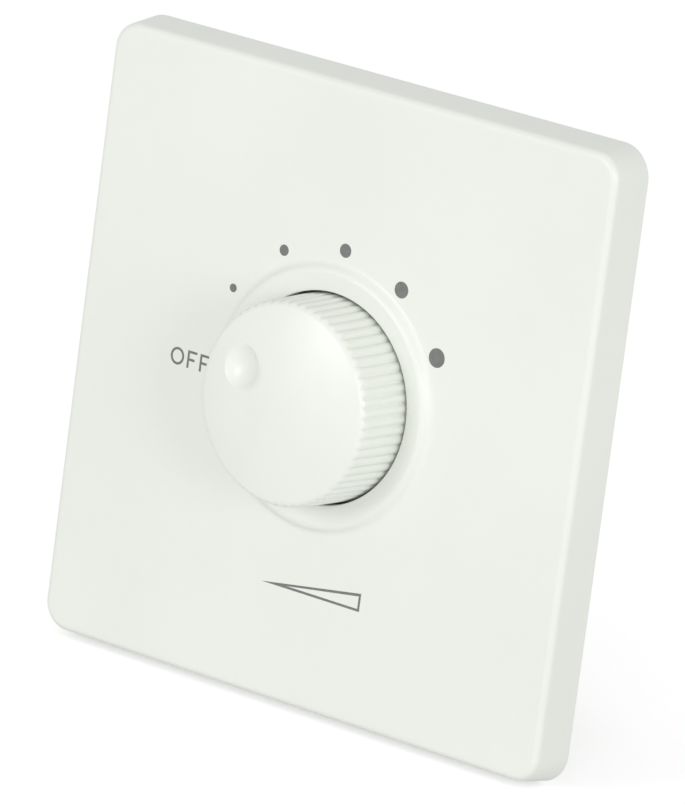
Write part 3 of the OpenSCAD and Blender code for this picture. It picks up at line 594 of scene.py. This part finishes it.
wedge_left, wedge_right = -6.0 * mm, 10.6 * mm
wedge_foot, wedge_top = -26.7 * mm, -24.2 * mm
wedge_tip = 4.2 * mm
wedge_slope_stroke = 1.3 * letter_stroke
wedge_mesh = bmesh.new()
film_loop(
    wedge_mesh,
    [(wedge_left, wedge_foot), (wedge_right, wedge_foot), (wedge_right, wedge_top)],
    [(wedge_left + wedge_tip, wedge_foot + letter_stroke),
     (wedge_right - letter_stroke, wedge_foot + letter_stroke),
     (wedge_right - letter_stroke, wedge_top - wedge_slope_stroke)],
    ink_low, ink_high)
settle(wedge_mesh, "volume_wedge", ink_grey, "wall_unit")

# Knob: a white cap moulded with sixty ribs, a crowned face and a finger dimple that points at the
# scale. Its hub is pushed on the shaft, where a small steel leaf grips the shaft's flat.
dress("knob_spring", spring_steel, edge=0.06)

knob_low, knob_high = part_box("knob")
knob_foot = -knob_high.y
knob_crown = -knob_low.y
knob_radius = 14.05 * mm
knob_lean = 0.25 * mm
knob_shoulder = 13.8 * mm
foot_edge = 0.15 * mm
side_steps = 4
shoulder_edge = 1.3 * mm
shoulder_start = 8
shoulder_steps = 9
crown_rise = 1.5 * mm
crown_border = 0.4 * mm
crown_steps = 16
crown_every = 4
rib_count = 60
rib_depth = 0.5 * mm
rib_steps = 8
rib_lead = radians(4.85)
rib_soft = 0.08 * mm
rib_run_out = 0.4 * mm
pointer = radians(150)
dimple_out = 7.9 * mm
dimple_radius = 3.1 * mm
dimple_depth = 1.1 * mm
dimple_rim = 0.1 * mm
dimple_border = 1.12 * dimple_radius
dimple_reach = 1.3 * dimple_radius
dimple_shares = (1.07, 1.04, 1.02, 1.0, 0.98, 0.95, 0.9, 0.82, 0.7, 0.55, 0.38, 0.2)
knob_inner = 11.5 * mm
knob_inner_edge = 0.3 * mm
knob_ceiling = 13.3 * mm
hub_radius = 5.4 * mm
hub_foot = 6.6 * mm
hub_edge = 0.2 * mm
bore_radius = 3.05 * mm

crown_edge = knob_radius - knob_lean - shoulder_edge
crown_radius = (crown_edge ** 2 + crown_rise ** 2) / (2 * crown_rise)
crown_centre = knob_crown - crown_radius
shoulder_centre = crown_centre + sqrt((crown_radius - shoulder_edge) ** 2 - crown_edge ** 2)
shoulder_end = degrees(atan2(shoulder_centre - crown_centre, crown_edge))
side_slope = knob_lean / (knob_shoulder - knob_foot)
rib_pitch = 2 * pi * knob_radius / rib_count
rib_round = ((rib_pitch / 2) ** 2 + rib_depth ** 2) / (2 * rib_depth)
dimple_x, dimple_z = dimple_out * cos(pointer), dimple_out * sin(pointer)
dimple_ball = (dimple_radius ** 2 + dimple_depth ** 2) / (2 * dimple_depth)
dimple_face = crown_centre + sqrt(crown_radius ** 2 - dimple_out ** 2)
dimple_centre = dimple_face - dimple_depth + dimple_ball


def lesser(a, b, blend):
    """The smaller of two heights, with the corner between them rounded over the blend."""
    share = max(blend - abs(a - b), 0) / blend
    return min(a, b) - share * share * blend / 4


def rib_height(angle):
    """How far the rib stands over the valley's floor at an angle round the knob."""
    across = ((angle - rib_lead) / (2 * pi / rib_count)) % 1 - 0.5
    return sqrt(rib_round ** 2 - (across * rib_pitch) ** 2) - (rib_round - rib_depth)


def side_point(radius, off_wall, angle):
    """A point on the ribbed side, where the ribs run out softly in the rounded shoulder."""
    floor = knob_radius - rib_depth - side_slope * (off_wall - knob_foot)
    up_shoulder = max(off_wall - shoulder_centre, 0) / shoulder_edge
    soft = rib_soft + (rib_run_out - rib_soft) * up_shoulder
    radius = lesser(radius, floor + rib_height(angle), soft)
    return Vector((radius * cos(angle), -off_wall, radius * sin(angle)))


def crown_point(x, z):
    """A point on the crowned face, with the dimple ground into it."""
    off_wall = crown_centre + sqrt(crown_radius ** 2 - x * x - z * z)
    away = hypot(x - dimple_x, z - dimple_z)
    if away < dimple_reach:
        dimple_floor = dimple_centre - sqrt(dimple_ball ** 2 - away ** 2)
        off_wall = lesser(off_wall, dimple_floor, dimple_rim)
    return Vector((x, -off_wall, z))


profile = [(knob_radius - foot_edge, knob_foot)]
for i in range(side_steps + 1):
    rise = foot_edge + (shoulder_centre - knob_foot - foot_edge) * i / side_steps
    profile.append((knob_radius - side_slope * rise, knob_foot + rise))
for turn in curl(shoulder_start, shoulder_end, shoulder_steps):
    out, up_wall = shoulder_edge * cos(turn), shoulder_edge * sin(turn)
    profile.append((crown_edge + out, shoulder_centre + up_wall))
angles = [2 * pi * i / (rib_count * rib_steps) for i in range(rib_count * rib_steps)]
knob_mesh = bmesh.new()
side_rings = [[side_point(r, w, a) for a in angles] for r, w in profile]
shell = skin(knob_mesh, side_rings, closed=False)

crown_angles = angles[::crown_every]
crown_outer = profile[-1][0] - crown_border
face_circles = []
for i in range(crown_steps + 1):
    share = i / crown_steps
    radius = crown_outer + (dimple_border - crown_outer) * share
    face_circles.append((dimple_x * share, dimple_z * share, radius))
for share in dimple_shares:
    face_circles.append((dimple_x, dimple_z, share * dimple_radius))
face_rings = []
for x, z, r in face_circles:
    face_rings.append([crown_point(x + r * cos(a), z + r * sin(a)) for a in crown_angles])
face = skin(knob_mesh, face_rings, closed=False)
dimple_tip = knob_mesh.verts.new(crown_point(dimple_x, dimple_z))
for i in range(len(crown_angles)):
    j = (i + 1) % len(crown_angles)
    rim = [shell[-1][(crown_every * i + k) % len(angles)] for k in range(crown_every + 1)]
    knob_mesh.faces.new(rim + [face[0][j], face[0][i]])
    knob_mesh.faces.new((face[-1][i], face[-1][j], dimple_tip))

inside = [
    (knob_inner + knob_inner_edge, knob_foot), (knob_inner, knob_foot + knob_inner_edge),
    (knob_inner, knob_ceiling), (hub_radius, knob_ceiling),
    (hub_radius, hub_foot + hub_edge), (hub_radius - hub_edge, hub_foot),
    (bore_radius + hub_edge, hub_foot), (bore_radius, hub_foot + hub_edge),
    (bore_radius, knob_ceiling),
]
inner_rings = [[Vector((r * cos(a), -w, r * sin(a))) for a in angles] for r, w in inside]
core = skin(knob_mesh, inner_rings, closed=False)
roof = knob_mesh.verts.new((0, -knob_ceiling, 0))
for i in range(len(angles)):
    j = (i + 1) % len(angles)
    knob_mesh.faces.new((shell[0][j], shell[0][i], core[0][i], core[0][j]))
    knob_mesh.faces.new((core[-1][i], core[-1][j], roof))
knob_plastic = finish(
    "knob_plastic", pale="#EDF0E9", deep="#EAEDE6", patch=12,
    rough=(0.3, 0.33), grain=0.3, height=0.0002)
knob_cap = settle(knob_mesh, "knob_cap", knob_plastic, "knob_rotor", crease=50)
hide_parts("knob")

# Studio: the finished control stands on a white table in an even white room, lit by three soft
# lamps to its right, near the camera and to its left, and seen through a long lens from its right.
table_half = 3.0
table_height = cover_low.z - 0.2 * mm
table_grey = (0.8, 0.8, 0.8, 1)
table_glow = 0.5
table_corners = [(-1, -1), (1, -1), (1, 1), (-1, 1)]
table_data = bpy.data.meshes.new("table")
table_data.from_pydata(
    [(x * table_half, y * table_half, table_height) for x, y in table_corners],
    [], [(0, 1, 2, 3)])
table = bpy.data.objects.new("table", table_data)
bpy.context.scene.collection.objects.link(table)


def seen_directly(tree):
    """A value that is 1 on rays from the camera, off metal and through glass, and else 0."""
    ray = tree.nodes.new("ShaderNodeLightPath")
    total = ray.outputs["Is Camera Ray"]
    for kind in ("Is Glossy Ray", "Is Transmission Ray"):
        either = tree.nodes.new("ShaderNodeMath")
        either.operation = "MAXIMUM"
        tree.links.new(total, either.inputs[0])
        tree.links.new(ray.outputs[kind], either.inputs[1])
        total = either.outputs["Value"]
    return total


table_white = bpy.data.materials.new("table_white")
table_white.use_nodes = True
tree = table_white.node_tree
tree.nodes.remove(tree.nodes["Principled BSDF"])
paper = tree.nodes.new("ShaderNodeBsdfDiffuse")
paper.inputs["Color"].default_value = table_grey
glow = tree.nodes.new("ShaderNodeEmission")
glow.inputs["Strength"].default_value = table_glow
both = tree.nodes.new("ShaderNodeAddShader")
tree.links.new(paper.outputs["BSDF"], both.inputs[0])
tree.links.new(glow.outputs["Emission"], both.inputs[1])
either = tree.nodes.new("ShaderNodeMixShader")
tree.links.new(seen_directly(tree), either.inputs["Fac"])
tree.links.new(paper.outputs["BSDF"], either.inputs[1])
tree.links.new(both.outputs["Shader"], either.inputs[2])
tree.links.new(either.outputs["Shader"], tree.nodes["Material Output"].inputs["Surface"])
table_data.materials.append(table_white)

room_light, room_seen = 0.6, 1.0
room = bpy.data.worlds.new("room")
room.use_nodes = True
bpy.context.scene.world = room
tree = room.node_tree
backdrop = tree.nodes["Background"]
backdrop.inputs["Color"].default_value = (1, 1, 1, 1)
brightness = tree.nodes.new("ShaderNodeMapRange")
brightness.inputs["To Min"].default_value = room_light
brightness.inputs["To Max"].default_value = room_seen
tree.links.new(seen_directly(tree), brightness.inputs["Value"])
tree.links.new(brightness.outputs["Result"], backdrop.inputs["Strength"])

lamp_distance = 1.4
lamp_size = 0.45
for name, way, level in (
    ("side_lamp", (0.9, -0.4, 0.18), 0.21),
    ("near_lamp", (0.5, -0.84, 0.2), 0.16),
    ("left_lamp", (-0.3, -0.93, 0.2), 0.2),
):
    lamp_data = bpy.data.lights.new(name, "AREA")
    lamp_data.size = lamp_size
    lamp_data.energy = level * (pi * lamp_distance) ** 2
    lamp = bpy.data.objects.new(name, lamp_data)
    way = Vector(way).normalized()
    lamp.location = way * lamp_distance
    lamp.rotation_euler = way.to_track_quat("Z", "Y").to_euler()
    bpy.context.scene.collection.objects.link(lamp)

camera_data = bpy.data.cameras.new("camera")
camera_data.lens = 380.18
camera = bpy.data.objects.new("camera", camera_data)
camera.location = (654.6 * mm, -882.7 * mm, 253.7 * mm)
camera.rotation_euler = [radians(a) for a in (76.821, -7.298, 38.313)]
bpy.context.scene.collection.objects.link(camera)
bpy.context.scene.camera = camera
bpy.context.scene.view_settings.view_transform = "Standard"
